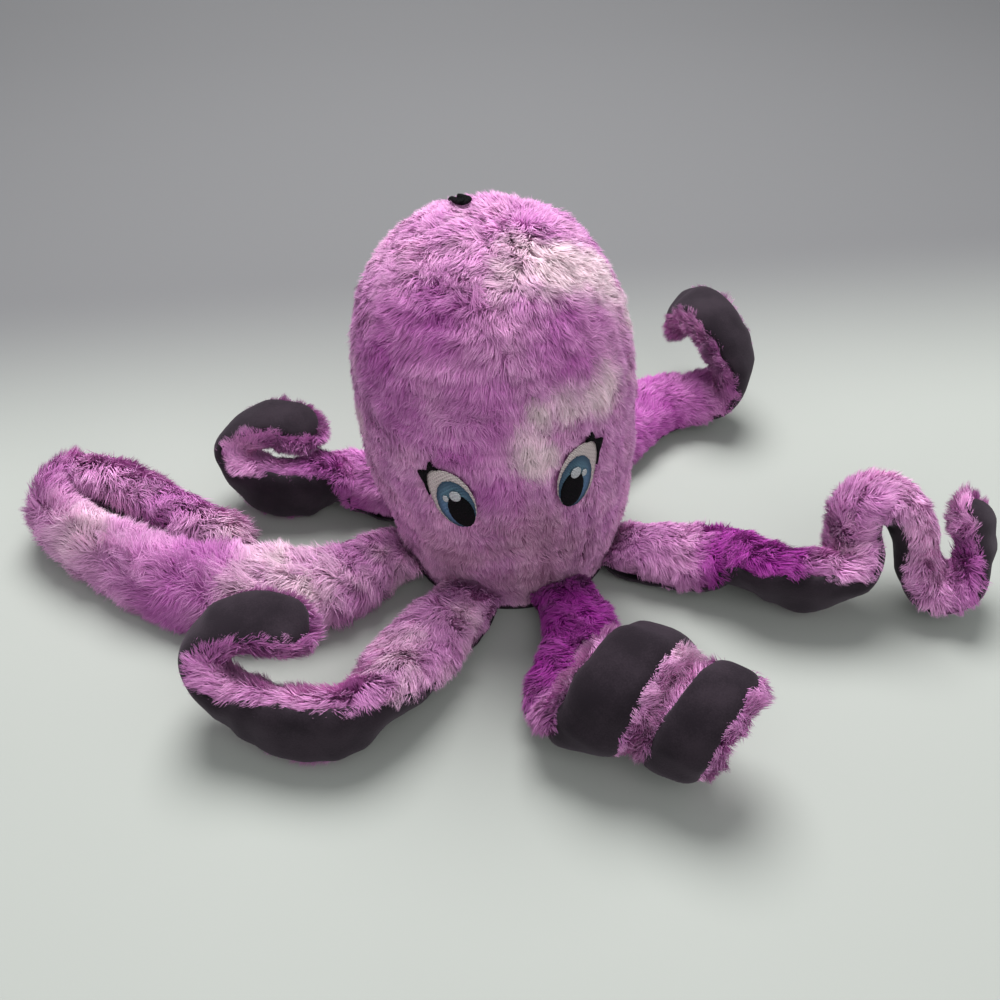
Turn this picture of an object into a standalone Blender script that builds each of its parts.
"""Plush octopus: a stuffed furry head on a dark base panel, with eight stuffed, curling arms.

Metres, +Z up, the face towards -Y. The origin is the middle of the base panel, on the surface it rests on.
"""
import math

import bmesh
import bpy
from mathutils import Matrix, Vector

# Seams and sheets
SEAM_GAP = 0.0003
BASE_THICKNESS = 0.002
LINING_THICKNESS = 0.002
COVER_THICKNESS = 0.0055  # backing cloth and the dense part of its pile
THREAD_THICKNESS = 0.0005

# Head
HEAD_TOP = 0.174
HEAD_RADIUS = 0.060
HEAD_FOOT_RADIUS = 0.048
WIDEST_HEIGHT = 0.073
CROWN_OPENING_RADIUS = 0.003
HEAD_LEAN_DEG = 4.3
LOWER_EXPONENT = 1.5
UPPER_EXPONENT = 3.6
HEAD_LEVELS = 10
PANEL_STEPS = 5

# Hang loop, flattened against the crown
LOOP_CORD = 0.0028
LOOP_LENGTH = 0.011
LOOP_WIDTH = 0.0065
LOOP_AZIMUTH_DEG = -160
LOOP_CROWN_SHARE = 0.36

# Eyes, as sizes along the face
EYE_AZIMUTH_DEG = 23.5
EYE_HEIGHT = 0.0772
EYE_SKEW = 0.0015
EYE_TILT_DEG = 11
WHITE_WIDTH = 0.018
WHITE_HEIGHT = 0.0295
WHITE_OUT = 0.0009
WHITE_UP = 0.0017
IRIS_WIDTH = 0.0152
IRIS_HEIGHT = 0.0246
PUPIL_WIDTH = 0.0102
PUPIL_HEIGHT = 0.0168
PUPIL_OUT = -0.0017
PUPIL_UP = -0.0028
GLINT_WIDTH = 0.0045
GLINT_HEIGHT = 0.0052
GLINT_OUT = -0.0018
GLINT_UP = 0.0058
SMALL_GLINT_WIDTH = 0.0023
SMALL_GLINT_HEIGHT = 0.0034
SMALL_GLINT_OUT = 0.0029
SMALL_GLINT_UP = 0.0040
LASH_LENGTH = 0.0038
LASH_EDGE_SHARES = (0.04, 0.2)
LASH_SPIKES = 3
EYE_SEGMENTS = 20
GLINT_SEGMENTS = 10

# Arms
ARM_LENGTH = 0.250
ARM_WIDTH = 0.036
ARM_THICKNESS = 0.024
LINING_LIP = 0.0006
CURL_RADIUS = 0.0205
TIP_ROUND = 0.011
ROOT_CLEARANCE_SHARE = 0.93
STEPS_PER_SPAN = 2
KNUCKLE_ANGLES_DEG = (78, 42)
FACET_SLACK_SHARES = (0.9, 1.7)  # how far the flat facets stand back, evenly and towards the lean
SEAM_ANGLE_DEG = 45  # where the cover stops and the lining starts, below the arm's sides
ARCH_POINTS = 5

# Width and thickness along an arm: (share of the way out, share of the full size)
WIDTH_SHARES = ((0.0, 0.80), (0.22, 1.0), (0.45, 0.85), (0.75, 0.76), (1.0, 0.66))
THICKNESS_SHARES = ((0.0, 1.0), (0.3, 0.95), (0.55, 0.82), (1.0, 0.66))

COVER_COLOUR = (0.52, 0.20, 0.50, 1)
FACE_COLOUR = (0.50, 0.19, 0.46, 1)
SUEDE_COLOUR = (0.045, 0.032, 0.045, 1)
WADDING_COLOUR = (0.85, 0.85, 0.83, 1)
WHITE_COLOUR = (0.78, 0.76, 0.76, 1)
IRIS_COLOUR = (0.15, 0.30, 0.49, 1)
BLACK_COLOUR = (0.012, 0.012, 0.015, 1)

# Each arm's route from its hinge: rows of (out, aside, up) shares of the arm's length, then the lay, which is
# the way the arm's left edge points, as a heading from the arm's own direction and a tilt above level.
# A curl continues the rows: its axis starts at (out, aside, up) shares and heads as told.
FLAT_SHARE = 0.036
ARMS = {
    "arm_1": dict(angle=-73, shares=(
        (0.0, 0.0, 0.036, 90, 0), (0.065, -0.016, 0.036, 84, 0), (0.128, -0.050, 0.036, 72, 0),
        (0.186, -0.094, 0.042, 56, 0)),
        curl=dict(centre_shares=(0.224, -0.058, 0.118), heading=40, start=66, stop=590, advance_share=0.96,
                  radius_share=0.88)),
    "arm_2": dict(angle=-28, shares=(
        (0.0, 0.0, 0.036, 90, 0), (0.095, 0.01, 0.038, 92, 0), (0.18, 0.014, 0.06, 94, -24),
        (0.245, -0.018, 0.074, 102, -52), (0.305, -0.015, 0.074, 110, -70),
        (0.352, 0.002, 0.076, 116, -60), (0.38, 0.03, 0.09, 118, -42), (0.376, 0.056, 0.118, 118, -36),
        (0.366, 0.074, 0.15, 116, -34), (0.374, 0.092, 0.18, 114, -30), (0.404, 0.106, 0.192, 112, -24),
        (0.44, 0.111, 0.176, 108, -20), (0.464, 0.104, 0.138, 102, -16), (0.48, 0.092, 0.094, 94, -10),
        (0.504, 0.082, 0.058, 89, -4), (0.54, 0.084, 0.046, 85, 0), (0.572, 0.096, 0.066, 84, 0),
        (0.578, 0.122, 0.108, 83, 0), (0.564, 0.15, 0.15, 83, 0), (0.545, 0.175, 0.18, 83, 0))),
    "arm_3": dict(angle=38, shares=(
        (0.0, 0.0, 0.036, 90, 0), (0.08, 0.020, 0.036, 80, 0), (0.160, 0.034, 0.036, 68, 0),
        (0.235, 0.022, 0.038, 55, 0), (0.300, -0.026, 0.045, 45, 0), (0.340, -0.078, 0.085, 32, 0),
        (0.346, -0.076, 0.155, 14, 0), (0.350, -0.030, 0.205, 8, 0), (0.372, 0.030, 0.215, 14, 0),
        (0.395, 0.085, 0.180, 20, 0), (0.400, 0.110, 0.120, 20, 0))),
    "arm_4": dict(angle=76, shares=(
        (0.0, 0.0, 0.036, 90, 0), (0.065, -0.016, 0.036, 84, 0), (0.128, -0.050, 0.036, 72, 0),
        (0.186, -0.094, 0.042, 56, 0)),
        curl=dict(centre_shares=(0.224, -0.058, 0.118), heading=32, start=66, stop=470, advance_share=0.96,
                  radius_share=0.90)),
    "arm_5": dict(angle=114, shares=(
        (0.0, 0.0, 0.036, 90, 0), (0.070, -0.010, 0.036, 86, 0), (0.140, -0.032, 0.036, 80, 0)),
        curl=dict(centre_shares=(0.222, -0.062, 0.116), heading=72, start=0, stop=245, advance_share=-0.2,
                  radius_share=0.96)),
    "arm_6": dict(angle=153, shares=(
        (0.0, 0.0, 0.036, 90, 0), (0.064, -0.002, 0.044, 88, 12), (0.11, 0.024, 0.052, 93, 38),
        (0.149, 0.066, 0.06, 99, 72), (0.201, 0.089, 0.064, 107, 80), (0.254, 0.091, 0.084, 109, 62),
        (0.282, 0.073, 0.12, 111, 38), (0.26, 0.048, 0.156, 113, 14), (0.207, 0.023, 0.168, 115, 0),
        (0.133, 0.02, 0.156, 117, -10))),
    "arm_7": dict(angle=-163, shares=(
        (0.0, 0.0, 0.036, 90, 0), (0.104, 0.027, 0.04, 87, -6), (0.185, 0.022, 0.052, 83, -24),
        (0.262, -0.004, 0.056, 71, -44), (0.33, -0.049, 0.056, 63, -60), (0.394, -0.115, 0.056, 57, -68),
        (0.45, -0.192, 0.056, 57, -78), (0.501, -0.273, 0.06, 57, -86), (0.523, -0.353, 0.068, 57, -93),
        (0.486, -0.398, 0.08, 57, -102), (0.421, -0.364, 0.088, 57, -114),
        (0.353, -0.264, 0.096, 57, -126), (0.292, -0.171, 0.096, 57, -132),
        (0.235, -0.093, 0.092, 57, -132))),
    "arm_8": dict(angle=-118, shares=(
        (0.0, 0.0, 0.036, 90, 0), (0.063, -0.018, 0.038, 90, 4), (0.15, -0.034, 0.044, 88, 18),
        (0.236, -0.044, 0.056, 80, 46), (0.299, -0.065, 0.064, 60, 76), (0.331, -0.111, 0.064, 38, 90),
        (0.341, -0.172, 0.064, 24, 88), (0.338, -0.236, 0.072, 22, 72), (0.33, -0.289, 0.096, 22, 50),
        (0.308, -0.31, 0.132, 26, 26), (0.282, -0.286, 0.164, 28, 8), (0.254, -0.233, 0.176, 30, -2),
        (0.241, -0.157, 0.164, 32, -10))),
}


def clear_scene():
    for thing in list(bpy.data.objects):
        bpy.data.objects.remove(thing, do_unlink=True)


def make_collection(name):
    collection = bpy.data.collections.new(name)
    bpy.context.scene.collection.children.link(collection)
    return collection


def make_material(name, colour, roughness):
    material = bpy.data.materials.new(name)
    material.use_nodes = True
    shader = material.node_tree.nodes["Principled BSDF"]
    shader.inputs["Base Color"].default_value = colour
    shader.inputs["Roughness"].default_value = roughness
    shader.inputs["Metallic"].default_value = 0.0
    return material


def add_object(name, mesh_data, collection, material, parent=None):
    mesh = bpy.data.meshes.new(name)
    bmesh.ops.recalc_face_normals(mesh_data, faces=mesh_data.faces)
    mesh_data.to_mesh(mesh)
    mesh_data.free()
    mesh.shade_smooth()
    mesh.materials.append(material)
    thing = bpy.data.objects.new(name, mesh)
    collection.objects.link(thing)
    thing.parent = parent
    return thing


def head_radius(height, inset=0.0):
    """The head's outer radius at a height, on the straight head, or that of a surface inset from it."""
    radius = HEAD_RADIUS - inset
    top = HEAD_TOP - inset
    if height < WIDEST_HEIGHT:
        share = 1 - height / WIDEST_HEIGHT
        return radius - (HEAD_RADIUS - HEAD_FOOT_RADIUS) * share ** LOWER_EXPONENT
    share = min((height - WIDEST_HEIGHT) / (top - WIDEST_HEIGHT), 1)
    return radius * math.sqrt(1 - share ** UPPER_EXPONENT)


def lean(point):
    """Tilt a point of the straight head to the side, growing from nothing at the base."""
    share = min(max(point.z / WIDEST_HEIGHT, 0), 1)
    angle = math.radians(HEAD_LEAN_DEG) * share * share * (3 - 2 * share)
    return Matrix.Rotation(-angle, 3, "Y") @ point


def head_profile(inset, foot_height, crown_radius):
    """Points (radius, height) of the head's side, from its foot up to the crown."""
    points = []
    top = HEAD_TOP - inset
    for step in range(HEAD_LEVELS):
        share = step / (HEAD_LEVELS - 1)
        height = foot_height + (top - foot_height) * math.sin(share * math.pi / 2) ** 0.9
        points.append((max(head_radius(height, inset), crown_radius), height))
    return points


def turn_profile(points, sweep, steps, closed):
    """Spin a profile of (radius, height) points about +Z; an open one ends on the axis."""
    shape = bmesh.new()
    corners = [shape.verts.new((radius, 0, height)) for radius, height in points]
    edges = [shape.edges.new(pair) for pair in zip(corners, corners[1:])]
    if closed:
        edges.append(shape.edges.new((corners[-1], corners[0])))
    whole_turn = not closed
    bmesh.ops.spin(shape, geom=corners + edges, cent=(0, 0, 0), axis=(0, 0, 1), angle=sweep, steps=steps,
                   use_merge=whole_turn)
    if whole_turn:
        bmesh.ops.remove_doubles(shape, verts=shape.verts, dist=SEAM_GAP / 10)
    else:
        bmesh.ops.holes_fill(shape, edges=shape.edges, sides=0)
    return shape


def make_head_panel(name, quarter, collection, material):
    """One of the four gores of the head's furry cover, from the base seam to the crown."""
    foot = BASE_THICKNESS + SEAM_GAP
    outer = head_profile(0, foot, CROWN_OPENING_RADIUS)
    inner = head_profile(COVER_THICKNESS, foot, CROWN_OPENING_RADIUS)
    shape = turn_profile(outer + inner[::-1], math.pi / 2, PANEL_STEPS, closed=True)
    bmesh.ops.translate(shape, verts=shape.verts, vec=(SEAM_GAP / 2, SEAM_GAP / 2, 0))
    bmesh.ops.rotate(shape, verts=shape.verts, matrix=Matrix.Rotation(quarter * math.pi / 2, 3, "Z"))
    for corner in shape.verts:
        corner.co = lean(corner.co)
    return add_object(name, shape, collection, material)


def make_head_stuffing(collection, material):
    inset = COVER_THICKNESS + SEAM_GAP * 2
    points = head_profile(inset, BASE_THICKNESS + SEAM_GAP, 0)
    points = [(0, points[0][1])] + points[:-1] + [(0, points[-1][1])]
    shape = turn_profile(points, math.tau, PANEL_STEPS * 4, closed=False)
    for corner in shape.verts:
        corner.co = lean(corner.co)
    return add_object("head_stuffing", shape, collection, material)


def make_base_panel(collection, material):
    shape = bmesh.new()
    bmesh.ops.create_cone(shape, cap_ends=True, segments=PANEL_STEPS * 8, radius1=HEAD_FOOT_RADIUS,
                          radius2=HEAD_FOOT_RADIUS, depth=BASE_THICKNESS)
    bmesh.ops.translate(shape, verts=shape.verts, vec=(0, 0, BASE_THICKNESS / 2))
    return add_object("base_panel", shape, collection, material)


def make_hang_loop(collection, material):
    """A short cord loop folded flat on the crown, its two ends sewn in side by side."""
    azimuth = math.radians(LOOP_AZIMUTH_DEG)
    outward = Vector((math.sin(azimuth), -math.cos(azimuth), 0))
    across = Vector((outward.y, -outward.x, 0))
    root_radius = HEAD_RADIUS * LOOP_CROWN_SHARE
    spread = (LOOP_WIDTH - LOOP_CORD) / 2
    curve = bpy.data.curves.new("hang_loop", "CURVE")
    curve.dimensions = "3D"
    curve.bevel_depth = LOOP_CORD / 2
    curve.bevel_resolution = 1
    curve.use_fill_caps = True
    spline = curve.splines.new("POLY")
    turn_points = 7
    points = []
    for step in range(turn_points):
        angle = math.pi * step / (turn_points - 1)
        away = LOOP_LENGTH - spread + spread * math.sin(angle)
        points.append((away, spread * math.cos(angle)))
    points = [(0, spread)] + points + [(0, -spread)]
    spline.points.add(len(points) - 1)
    for point, (along, aside) in zip(spline.points, points):
        flat = outward * (root_radius - along) + across * aside
        flat.z = crown_height(flat.length) + LOOP_CORD / 2 + SEAM_GAP
        place = lean(flat)
        point.co = (place.x, place.y, place.z, 1)
    guide = bpy.data.objects.new("hang_loop_curve", curve)
    collection.objects.link(guide)
    bpy.context.view_layer.update()
    evaluated = guide.evaluated_get(bpy.context.evaluated_depsgraph_get())
    shape = bmesh.new()
    shape.from_mesh(bpy.data.meshes.new_from_object(evaluated))
    bmesh.ops.remove_doubles(shape, verts=shape.verts, dist=SEAM_GAP / 10)
    bpy.data.objects.remove(guide, do_unlink=True)
    return add_object("hang_loop", shape, collection, material)


def crown_height(radius):
    """Height of the straight head's top surface at a distance from its axis."""
    share = (1 - (radius / HEAD_RADIUS) ** 2) ** (1 / UPPER_EXPONENT)
    return WIDEST_HEIGHT + (HEAD_TOP - WIDEST_HEIGHT) * share


def on_face(side, outwards, upwards, lift):
    """A point of an eye: outwards from its middle along the face, upwards, and lift above the cover."""
    height = EYE_HEIGHT + side * EYE_SKEW + upwards
    radius = head_radius(height)
    azimuth = side * (math.radians(EYE_AZIMUTH_DEG) + outwards / HEAD_RADIUS)
    slope_step = THREAD_THICKNESS
    slope = (head_radius(height + slope_step) - head_radius(height - slope_step)) / (2 * slope_step)
    reach = math.hypot(1, slope)
    away = radius + lift / reach
    point = Vector((away * math.sin(azimuth), -away * math.cos(azimuth), height - lift * slope / reach))
    return lean(point)


def oval_outline(centre, width, height, corner=0.0):
    """Points round a tilted oval, on shares of a turn; corner draws its upper outer side out to a point."""
    tilt = math.radians(EYE_TILT_DEG)

    def place(share):
        angle = share * math.tau
        pull = 1 + corner * max(0, math.cos(angle - math.radians(48))) ** 6
        x = centre[0] + width / 2 * math.cos(angle) * pull
        y = centre[1] + height / 2 * math.sin(angle) * pull
        return (x * math.cos(tilt) + y * math.sin(tilt), y * math.cos(tilt) - x * math.sin(tilt))
    return place


def make_patch(name, side, place, segments, lift, collection, material):
    """A thin embroidered patch that follows the face, from an outline of (outwards, upwards) points."""
    outline = [place(step / segments) for step in range(segments)]
    middle = (sum(p[0] for p in outline) / segments, sum(p[1] for p in outline) / segments)
    shape = bmesh.new()
    rings = []
    for level in (lift, lift + THREAD_THICKNESS):
        rim = [shape.verts.new(on_face(side, *point, level)) for point in outline]
        half = [shape.verts.new(on_face(side, (p[0] + middle[0]) / 2, (p[1] + middle[1]) / 2, level))
                for p in outline]
        hub = shape.verts.new(on_face(side, *middle, level))
        rings.append((rim, half, hub))
    for rim, half, hub in rings:
        for here in range(segments):
            after = (here + 1) % segments
            shape.faces.new((rim[here], rim[after], half[after], half[here]))
            shape.faces.new((half[here], half[after], hub))
    low, high = rings[0][0], rings[1][0]
    for here in range(segments):
        after = (here + 1) % segments
        shape.faces.new((low[here], low[after], high[after], high[here]))
    return add_object(name, shape, collection, material)


def lash_outline(place):
    """Three spikes on the white's upper outer edge, as one outline of (outwards, upwards) points."""
    first, last = LASH_EDGE_SHARES
    inner, outer = [], []
    steps = LASH_SPIKES * 2
    for step in range(steps + 1):
        share = first + (last - first) * step / steps
        x, y = place(share)
        length = math.hypot(x, y)
        away = (LASH_LENGTH if step % 2 else LASH_LENGTH / 5)
        reach = away + LASH_LENGTH / 8
        outer.append((x + (x / length) * reach, y + (y / length) * reach))
        inner.append((x + (x / length) * SEAM_GAP, y + (y / length) * SEAM_GAP))
    return outer + inner[::-1]


def make_lashes(name, side, place, lift, collection, material):
    outline = lash_outline(place)
    half = len(outline) // 2
    shape = bmesh.new()
    rings = [[shape.verts.new(on_face(side, *point, level)) for point in outline]
             for level in (lift, lift + THREAD_THICKNESS)]
    count = len(outline)
    for ring in rings:
        for here in range(half - 1):
            shape.faces.new((ring[here], ring[here + 1], ring[count - 2 - here], ring[count - 1 - here]))
    for here in range(count):
        after = (here + 1) % count
        shape.faces.new((rings[0][here], rings[0][after], rings[1][after], rings[1][here]))
    return add_object(name, shape, collection, material)


def make_eye(label, side, collection, materials):
    """White, iris, pupil, glint and lashes, sewn one over the other."""
    layer = THREAD_THICKNESS + SEAM_GAP
    lift = SEAM_GAP * 3
    white = oval_outline((WHITE_OUT, WHITE_UP), WHITE_WIDTH, WHITE_HEIGHT, corner=0.22)
    iris = oval_outline((0, 0), IRIS_WIDTH, IRIS_HEIGHT)
    pupil = oval_outline((PUPIL_OUT, PUPIL_UP), PUPIL_WIDTH, PUPIL_HEIGHT)
    glint = oval_outline((GLINT_OUT, GLINT_UP), GLINT_WIDTH, GLINT_HEIGHT)
    small_glint = oval_outline((SMALL_GLINT_OUT, SMALL_GLINT_UP), SMALL_GLINT_WIDTH, SMALL_GLINT_HEIGHT)
    make_patch(f"eye_white_{label}", side, white, EYE_SEGMENTS, lift, collection, materials["white"])
    make_patch(f"eye_iris_{label}", side, iris, EYE_SEGMENTS, lift + layer, collection, materials["iris"])
    make_patch(f"eye_pupil_{label}", side, pupil, EYE_SEGMENTS, lift + layer * 2, collection,
               materials["black"])
    make_patch(f"eye_glint_{label}", side, glint, GLINT_SEGMENTS, lift + layer * 3, collection,
               materials["white"])
    make_patch(f"eye_glint_small_{label}", side, small_glint, GLINT_SEGMENTS, lift + layer * 2, collection,
               materials["white"])
    make_lashes(f"eye_lashes_{label}", side, white, lift, collection, materials["black"])


def share_at(table, way):
    """Read a table of (way, share) rows with a smooth blend between rows."""
    for (here, low), (after, high) in zip(table, table[1:]):
        if way <= after:
            step = (way - here) / (after - here)
            return low + (high - low) * step * step * (3 - 2 * step)
    return table[-1][1]


def knuckle_reach(level):
    """How far an arm's root end reaches behind its hinge, at a height above or below it, as a share."""
    turns = [math.radians(angle) for angle in KNUCKLE_ANGLES_DEG]
    corners = [(0, math.sin(turns[0]))] + [(math.cos(turn), math.sin(turn)) for turn in turns] + [(1, 0)]
    for (low, reach), (high, after) in zip(corners, corners[1:]):
        if level <= high:
            return reach + (after - reach) * (level - low) / (high - low)
    return 0


def hinge_radius(angle):
    """Distance of an arm's hinge from the middle, so that its round root end just clears the head."""
    knuckle = ARM_THICKNESS / 2
    direction = Vector((math.cos(angle), math.sin(angle), 0))
    facet = math.cos(math.remainder(angle, math.pi / 2 / PANEL_STEPS))
    furthest = 0
    samples = 32
    for step in range(samples + 1):
        height = ARM_THICKNESS * step / samples
        wall = lean(direction * head_radius(height) * facet + Vector((0, 0, height)))
        level = min(abs(wall.z - knuckle) / knuckle, 1)
        furthest = max(furthest, wall.dot(direction) + knuckle * knuckle_reach(level))
    panel_shift = SEAM_GAP / 2 * (abs(direction.x) + abs(direction.y))
    evenly, leaning = FACET_SLACK_SHARES
    return furthest + panel_shift + SEAM_GAP * (1 - evenly - leaning * direction.x)


def root_width(angle, neighbours):
    """Width that leaves room for the arms sewn on either side."""
    spacing = min(abs(math.remainder(other - angle, math.tau)) for other in neighbours)
    inner = hinge_radius(angle) - ARM_THICKNESS / 2
    return 2 * inner * math.tan(spacing / 2) * ROOT_CLEARANCE_SHARE


def curl_rows(curl):
    """Rows of a curl: a helix about a level axis, turning up from the bottom of its first turn."""
    heading = math.radians(curl["heading"])
    axis = Vector((math.cos(heading), math.sin(heading), 0))
    side = Vector((math.sin(heading), -math.cos(heading), 0))
    centre = Vector(curl["centre_shares"]) * ARM_LENGTH
    radius = CURL_RADIUS * curl.get("radius_share", 1)
    advance = ARM_WIDTH * curl["advance_share"]
    tilts = curl.get("tilt", (6, 0))
    turned = math.copysign(1, curl["stop"] - curl["start"]) * (-1 if curl.get("outwards") else 1)
    sweep = curl["stop"] - curl["start"]
    count = max(round(abs(sweep) / 60), 3)
    rows = []
    for step in range(count + 1):
        share = step / count
        turn = math.radians(curl["start"] + sweep * share)
        travelled = advance * abs(sweep) * share / 360
        away = Vector((0, 0, -math.cos(turn))) + side * math.sin(turn)
        place = centre + axis * travelled + radius * away
        tilt = tilts[0] + (tilts[1] - tilts[0]) * share
        rows.append((place, curl["heading"] + (180 if turned < 0 else 0), tilt * turned))
    return rows


def lay_vector(heading, tilt):
    heading, tilt = math.radians(heading), math.radians(tilt)
    return Vector((math.cos(heading) * math.cos(tilt), math.sin(heading) * math.cos(tilt), math.sin(tilt)))


def spline_point(before, here, after, beyond, step):
    return 0.5 * (2 * here + (after - before) * step
                  + (2 * before - 5 * here + 4 * after - beyond) * step ** 2
                  + (3 * here - before - 3 * after + beyond) * step ** 3)


def smooth_row(values, span, step):
    first = values[span - 1] if span else 2 * values[0] - values[1]
    last = values[span + 2] if span + 2 < len(values) else 2 * values[-1] - values[-2]
    return spline_point(first, values[span], values[span + 1], last, step)


def arm_route(arm):
    """Frames (place, forward, left, up) along an arm, in its hinge's frame, with the way out as a share."""
    rows = [(Vector(row[:3]) * ARM_LENGTH, row[3], row[4]) for row in arm["shares"]]
    rows = [(place + Vector((0, 0, ARM_THICKNESS / 2 - FLAT_SHARE * ARM_LENGTH)), heading, tilt)
            for place, heading, tilt in rows]
    if "curl" in arm:
        rows += curl_rows(arm["curl"])
    places = [row[0] for row in rows]
    lays = [lay_vector(row[1], row[2]) for row in rows]
    spans = [(span, part / STEPS_PER_SPAN)
             for span in range(len(rows) - 1) for part in range(STEPS_PER_SPAN)]
    spans.append((len(rows) - 2, 1.0))
    middles = [smooth_row(places, *span) for span in spans]
    lefts = [smooth_row(lays, *span) for span in spans]
    lengths = [0.0]
    for here, after in zip(middles, middles[1:]):
        lengths.append(lengths[-1] + (after - here).length)
    frames = []
    for index, (middle, left) in enumerate(zip(middles, lefts)):
        before = middles[max(index - 1, 0)]
        after = middles[min(index + 1, len(middles) - 1)]
        forward = (after - before).normalized() if index else Vector((1, 0, 0))
        left = (left - forward * left.dot(forward)).normalized()
        frames.append((middle, forward, left, forward.cross(left), lengths[index]))
    return frames, lengths[-1]


def arm_stations(arm, neighbours):
    """Sections of an arm as (place, left, up, width, thickness), from its root end to its tip."""
    frames, length = arm_route(arm)
    narrowest = root_width(math.radians(arm["angle"]), neighbours)
    knuckle = ARM_THICKNESS / 2
    stations = []
    root_place, root_forward, root_left, root_up, _ = frames[0]
    width = min(ARM_WIDTH * share_at(WIDTH_SHARES, 0), narrowest)
    for angle in KNUCKLE_ANGLES_DEG:
        back = knuckle * math.sin(math.radians(angle))
        scale = math.cos(math.radians(angle))
        stations.append((root_place - root_forward * back, root_left, root_up, width,
                         ARM_THICKNESS * scale, 0.0))
    for place, _, left, up, travelled in frames:
        if length - travelled < TIP_ROUND * 0.5:
            continue
        way = travelled / length
        width = ARM_WIDTH * share_at(WIDTH_SHARES, way)
        if travelled < ARM_WIDTH:
            width = min(width, narrowest + (ARM_WIDTH - narrowest) * travelled / ARM_WIDTH)
        stations.append((place, left, up, width, ARM_THICKNESS * share_at(THICKNESS_SHARES, way), way))
    place, forward, left, up, _ = frames[-1]
    for share in (0.35, 0.7, 0.94):
        shrink = math.sqrt(1 - share ** 2)
        middle = place - forward * TIP_ROUND * (1 - share)
        width = ARM_WIDTH * share_at(WIDTH_SHARES, 1) * shrink
        thickness = ARM_THICKNESS * share_at(THICKNESS_SHARES, 1) * shrink
        stations.append((middle, left, up, width, thickness, 1.0))
    return stations


def section_levels(width, thickness):
    """Half width at the seam, and the height of the seam below an arm's middle."""
    seam = math.radians(SEAM_ANGLE_DEG)
    return width / 2 * math.cos(seam), -thickness / 2 * math.sin(seam)


def cover_section(width, thickness):
    """The furry cover's section: an arch over the arm, open towards the lining."""
    seam = math.radians(SEAM_ANGLE_DEG)
    points = []
    for step in range(ARCH_POINTS):
        angle = -seam + (math.pi + 2 * seam) * step / (ARCH_POINTS - 1)
        points.append((width / 2 * math.cos(angle), thickness / 2 * math.sin(angle)))
    return points + hollow_section(width, thickness, 0)[::-1]


def hollow_section(width, thickness, gap):
    """The space inside the cover, or what fills it with a gap all round."""
    side, seam_level = section_levels(width, thickness)
    wall = min(COVER_THICKNESS, thickness * 0.3)
    foot = side - wall * 0.55 - gap
    crown = foot * 0.82
    top = thickness / 2 - wall - gap
    return [(foot, seam_level + gap), (crown, top), (-crown, top), (-foot, seam_level + gap)]


def lining_section(width, thickness):
    side, seam_level = section_levels(width, thickness)
    side += LINING_LIP
    top = seam_level - SEAM_GAP
    bottom = top - LINING_THICKNESS * min(1, thickness / ARM_THICKNESS * 1.2)
    return [(side, top), (-side, top), (-side, bottom), (side, bottom)]


def loft_arm(name, stations, section, collection, material, hinge, sheet=False):
    """Join an arm's sections into one closed body that lies flat where it meets the ground."""
    ground = -hinge.location.z
    shape = bmesh.new()
    rings = []
    for place, left, up, width, thickness, _ in stations:
        ring = []
        for across, above in section(width, thickness):
            point = place - left * across + up * above
            point.z = max(point.z, ground)
            ring.append(shape.verts.new(point))
        rings.append(ring)
    for index, (ring, following) in enumerate(zip(rings, rings[1:])):
        join_rings(shape, ring, following, stations[index][2] + stations[index + 1][2] if sheet else None)
    for ring in (rings[0], rings[-1]):
        close_end(shape, ring)
    return add_object(name, shape, collection, material, hinge)


def join_rings(shape, ring, following, up):
    """Triangles between two sections, each pair creased inwards so that the layers' gaps keep in a twist.

    A thin sheet is given its up direction, so that both of its faces crease downwards together.
    """
    for here in range(len(ring)):
        after = (here + 1) % len(ring)
        first, second, third, fourth = ring[here], ring[after], following[after], following[here]
        outward = up or (fourth.co - first.co).cross(second.co - first.co)
        if (first.co + third.co).dot(outward) > (second.co + fourth.co).dot(outward):
            first, second, third, fourth = second, third, fourth, first
        shape.faces.new((first, second, third))
        shape.faces.new((first, third, fourth))


def close_end(shape, ring):
    """Close an arm's end; the cover's open arch is closed between its outer and inner points."""
    if len(ring) < ARCH_POINTS:
        shape.faces.new(ring)
        return
    outer, inner = ring[:ARCH_POINTS], ring[ARCH_POINTS:][::-1]
    shape.faces.new((outer[0], outer[1], inner[1], inner[0]))
    shape.faces.new((outer[1], outer[2], inner[1]))
    shape.faces.new((outer[2], inner[2], inner[1]))
    shape.faces.new((outer[2], outer[3], inner[2]))
    shape.faces.new((outer[3], outer[4], inner[3], inner[2]))


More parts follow.
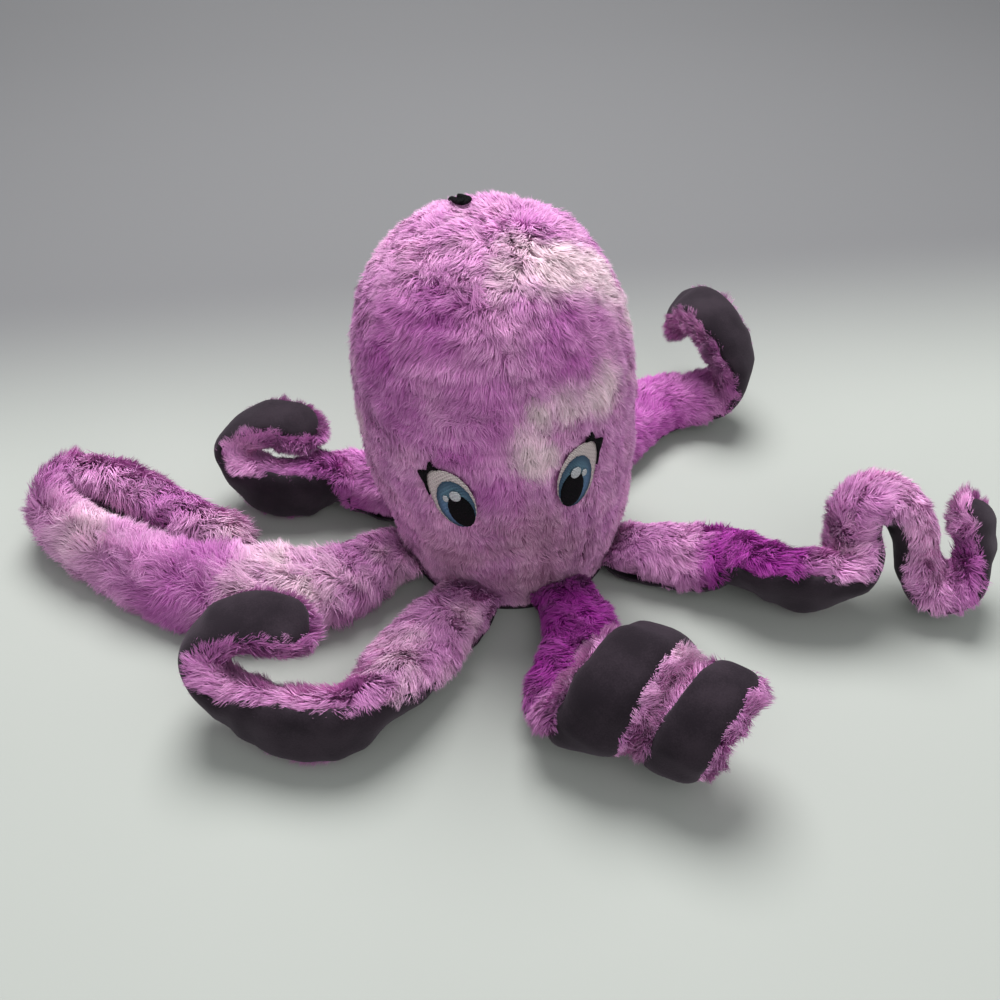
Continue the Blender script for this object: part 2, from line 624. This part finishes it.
def make_hinge(name, angle, collection):
    radius = hinge_radius(angle)
    hinge = bpy.data.objects.new(f"{name}_hinge", None)
    hinge.location = (radius * math.cos(angle), radius * math.sin(angle), ARM_THICKNESS / 2)
    hinge.rotation_euler = (0, 0, angle)
    hinge.empty_display_size = ARM_THICKNESS
    collection.objects.link(hinge)
    return hinge


def make_arm(name, arm, collection, materials):
    angle = math.radians(arm["angle"])
    neighbours = [math.radians(other["angle"]) for other in ARMS.values() if other is not arm]
    hinge = make_hinge(name, angle, collection)
    drop = Vector((0, 0, ARM_THICKNESS / 2))
    stations = [(place - drop, *rest) for place, *rest in arm_stations(arm, neighbours)]
    loft_arm(f"{name}_cover", stations, cover_section, collection, materials["cover"], hinge)
    loft_arm(f"{name}_lining", stations, lining_section, collection, materials["suede"], hinge, sheet=True)
    inner = stations[1:-2]
    loft_arm(f"{name}_wadding", inner, lambda width, thickness: hollow_section(width, thickness, SEAM_GAP),
             collection, materials["wadding"], hinge)


def make_materials():
    return {
        "cover": make_material("plush_pile", COVER_COLOUR, 0.9),
        "face": make_material("plush_pile_face", FACE_COLOUR, 0.9),
        "suede": make_material("dark_suede", SUEDE_COLOUR, 0.8),
        "wadding": make_material("white_wadding", WADDING_COLOUR, 1.0),
        "white": make_material("white_thread", WHITE_COLOUR, 0.5),
        "iris": make_material("blue_thread", IRIS_COLOUR, 0.45),
        "black": make_material("black_thread", BLACK_COLOUR, 0.5),
    }


def main():
    clear_scene()
    collection = make_collection("plush_octopus")
    materials = make_materials()
    make_base_panel(collection, materials["suede"])
    panels = (("head_panel_back_right", 0), ("head_panel_back_left", 1), ("head_panel_front_left", 2),
              ("head_panel_front_right", 3))
    for name, quarter in panels:
        make_head_panel(name, quarter, collection, materials["face" if "front" in name else "cover"])
    make_head_stuffing(collection, materials["wadding"])
    make_hang_loop(collection, materials["black"])
    make_eye("left", -1, collection, materials)
    make_eye("right", 1, collection, materials)
    for name, arm in ARMS.items():
        make_arm(name, arm, collection, materials)


main()
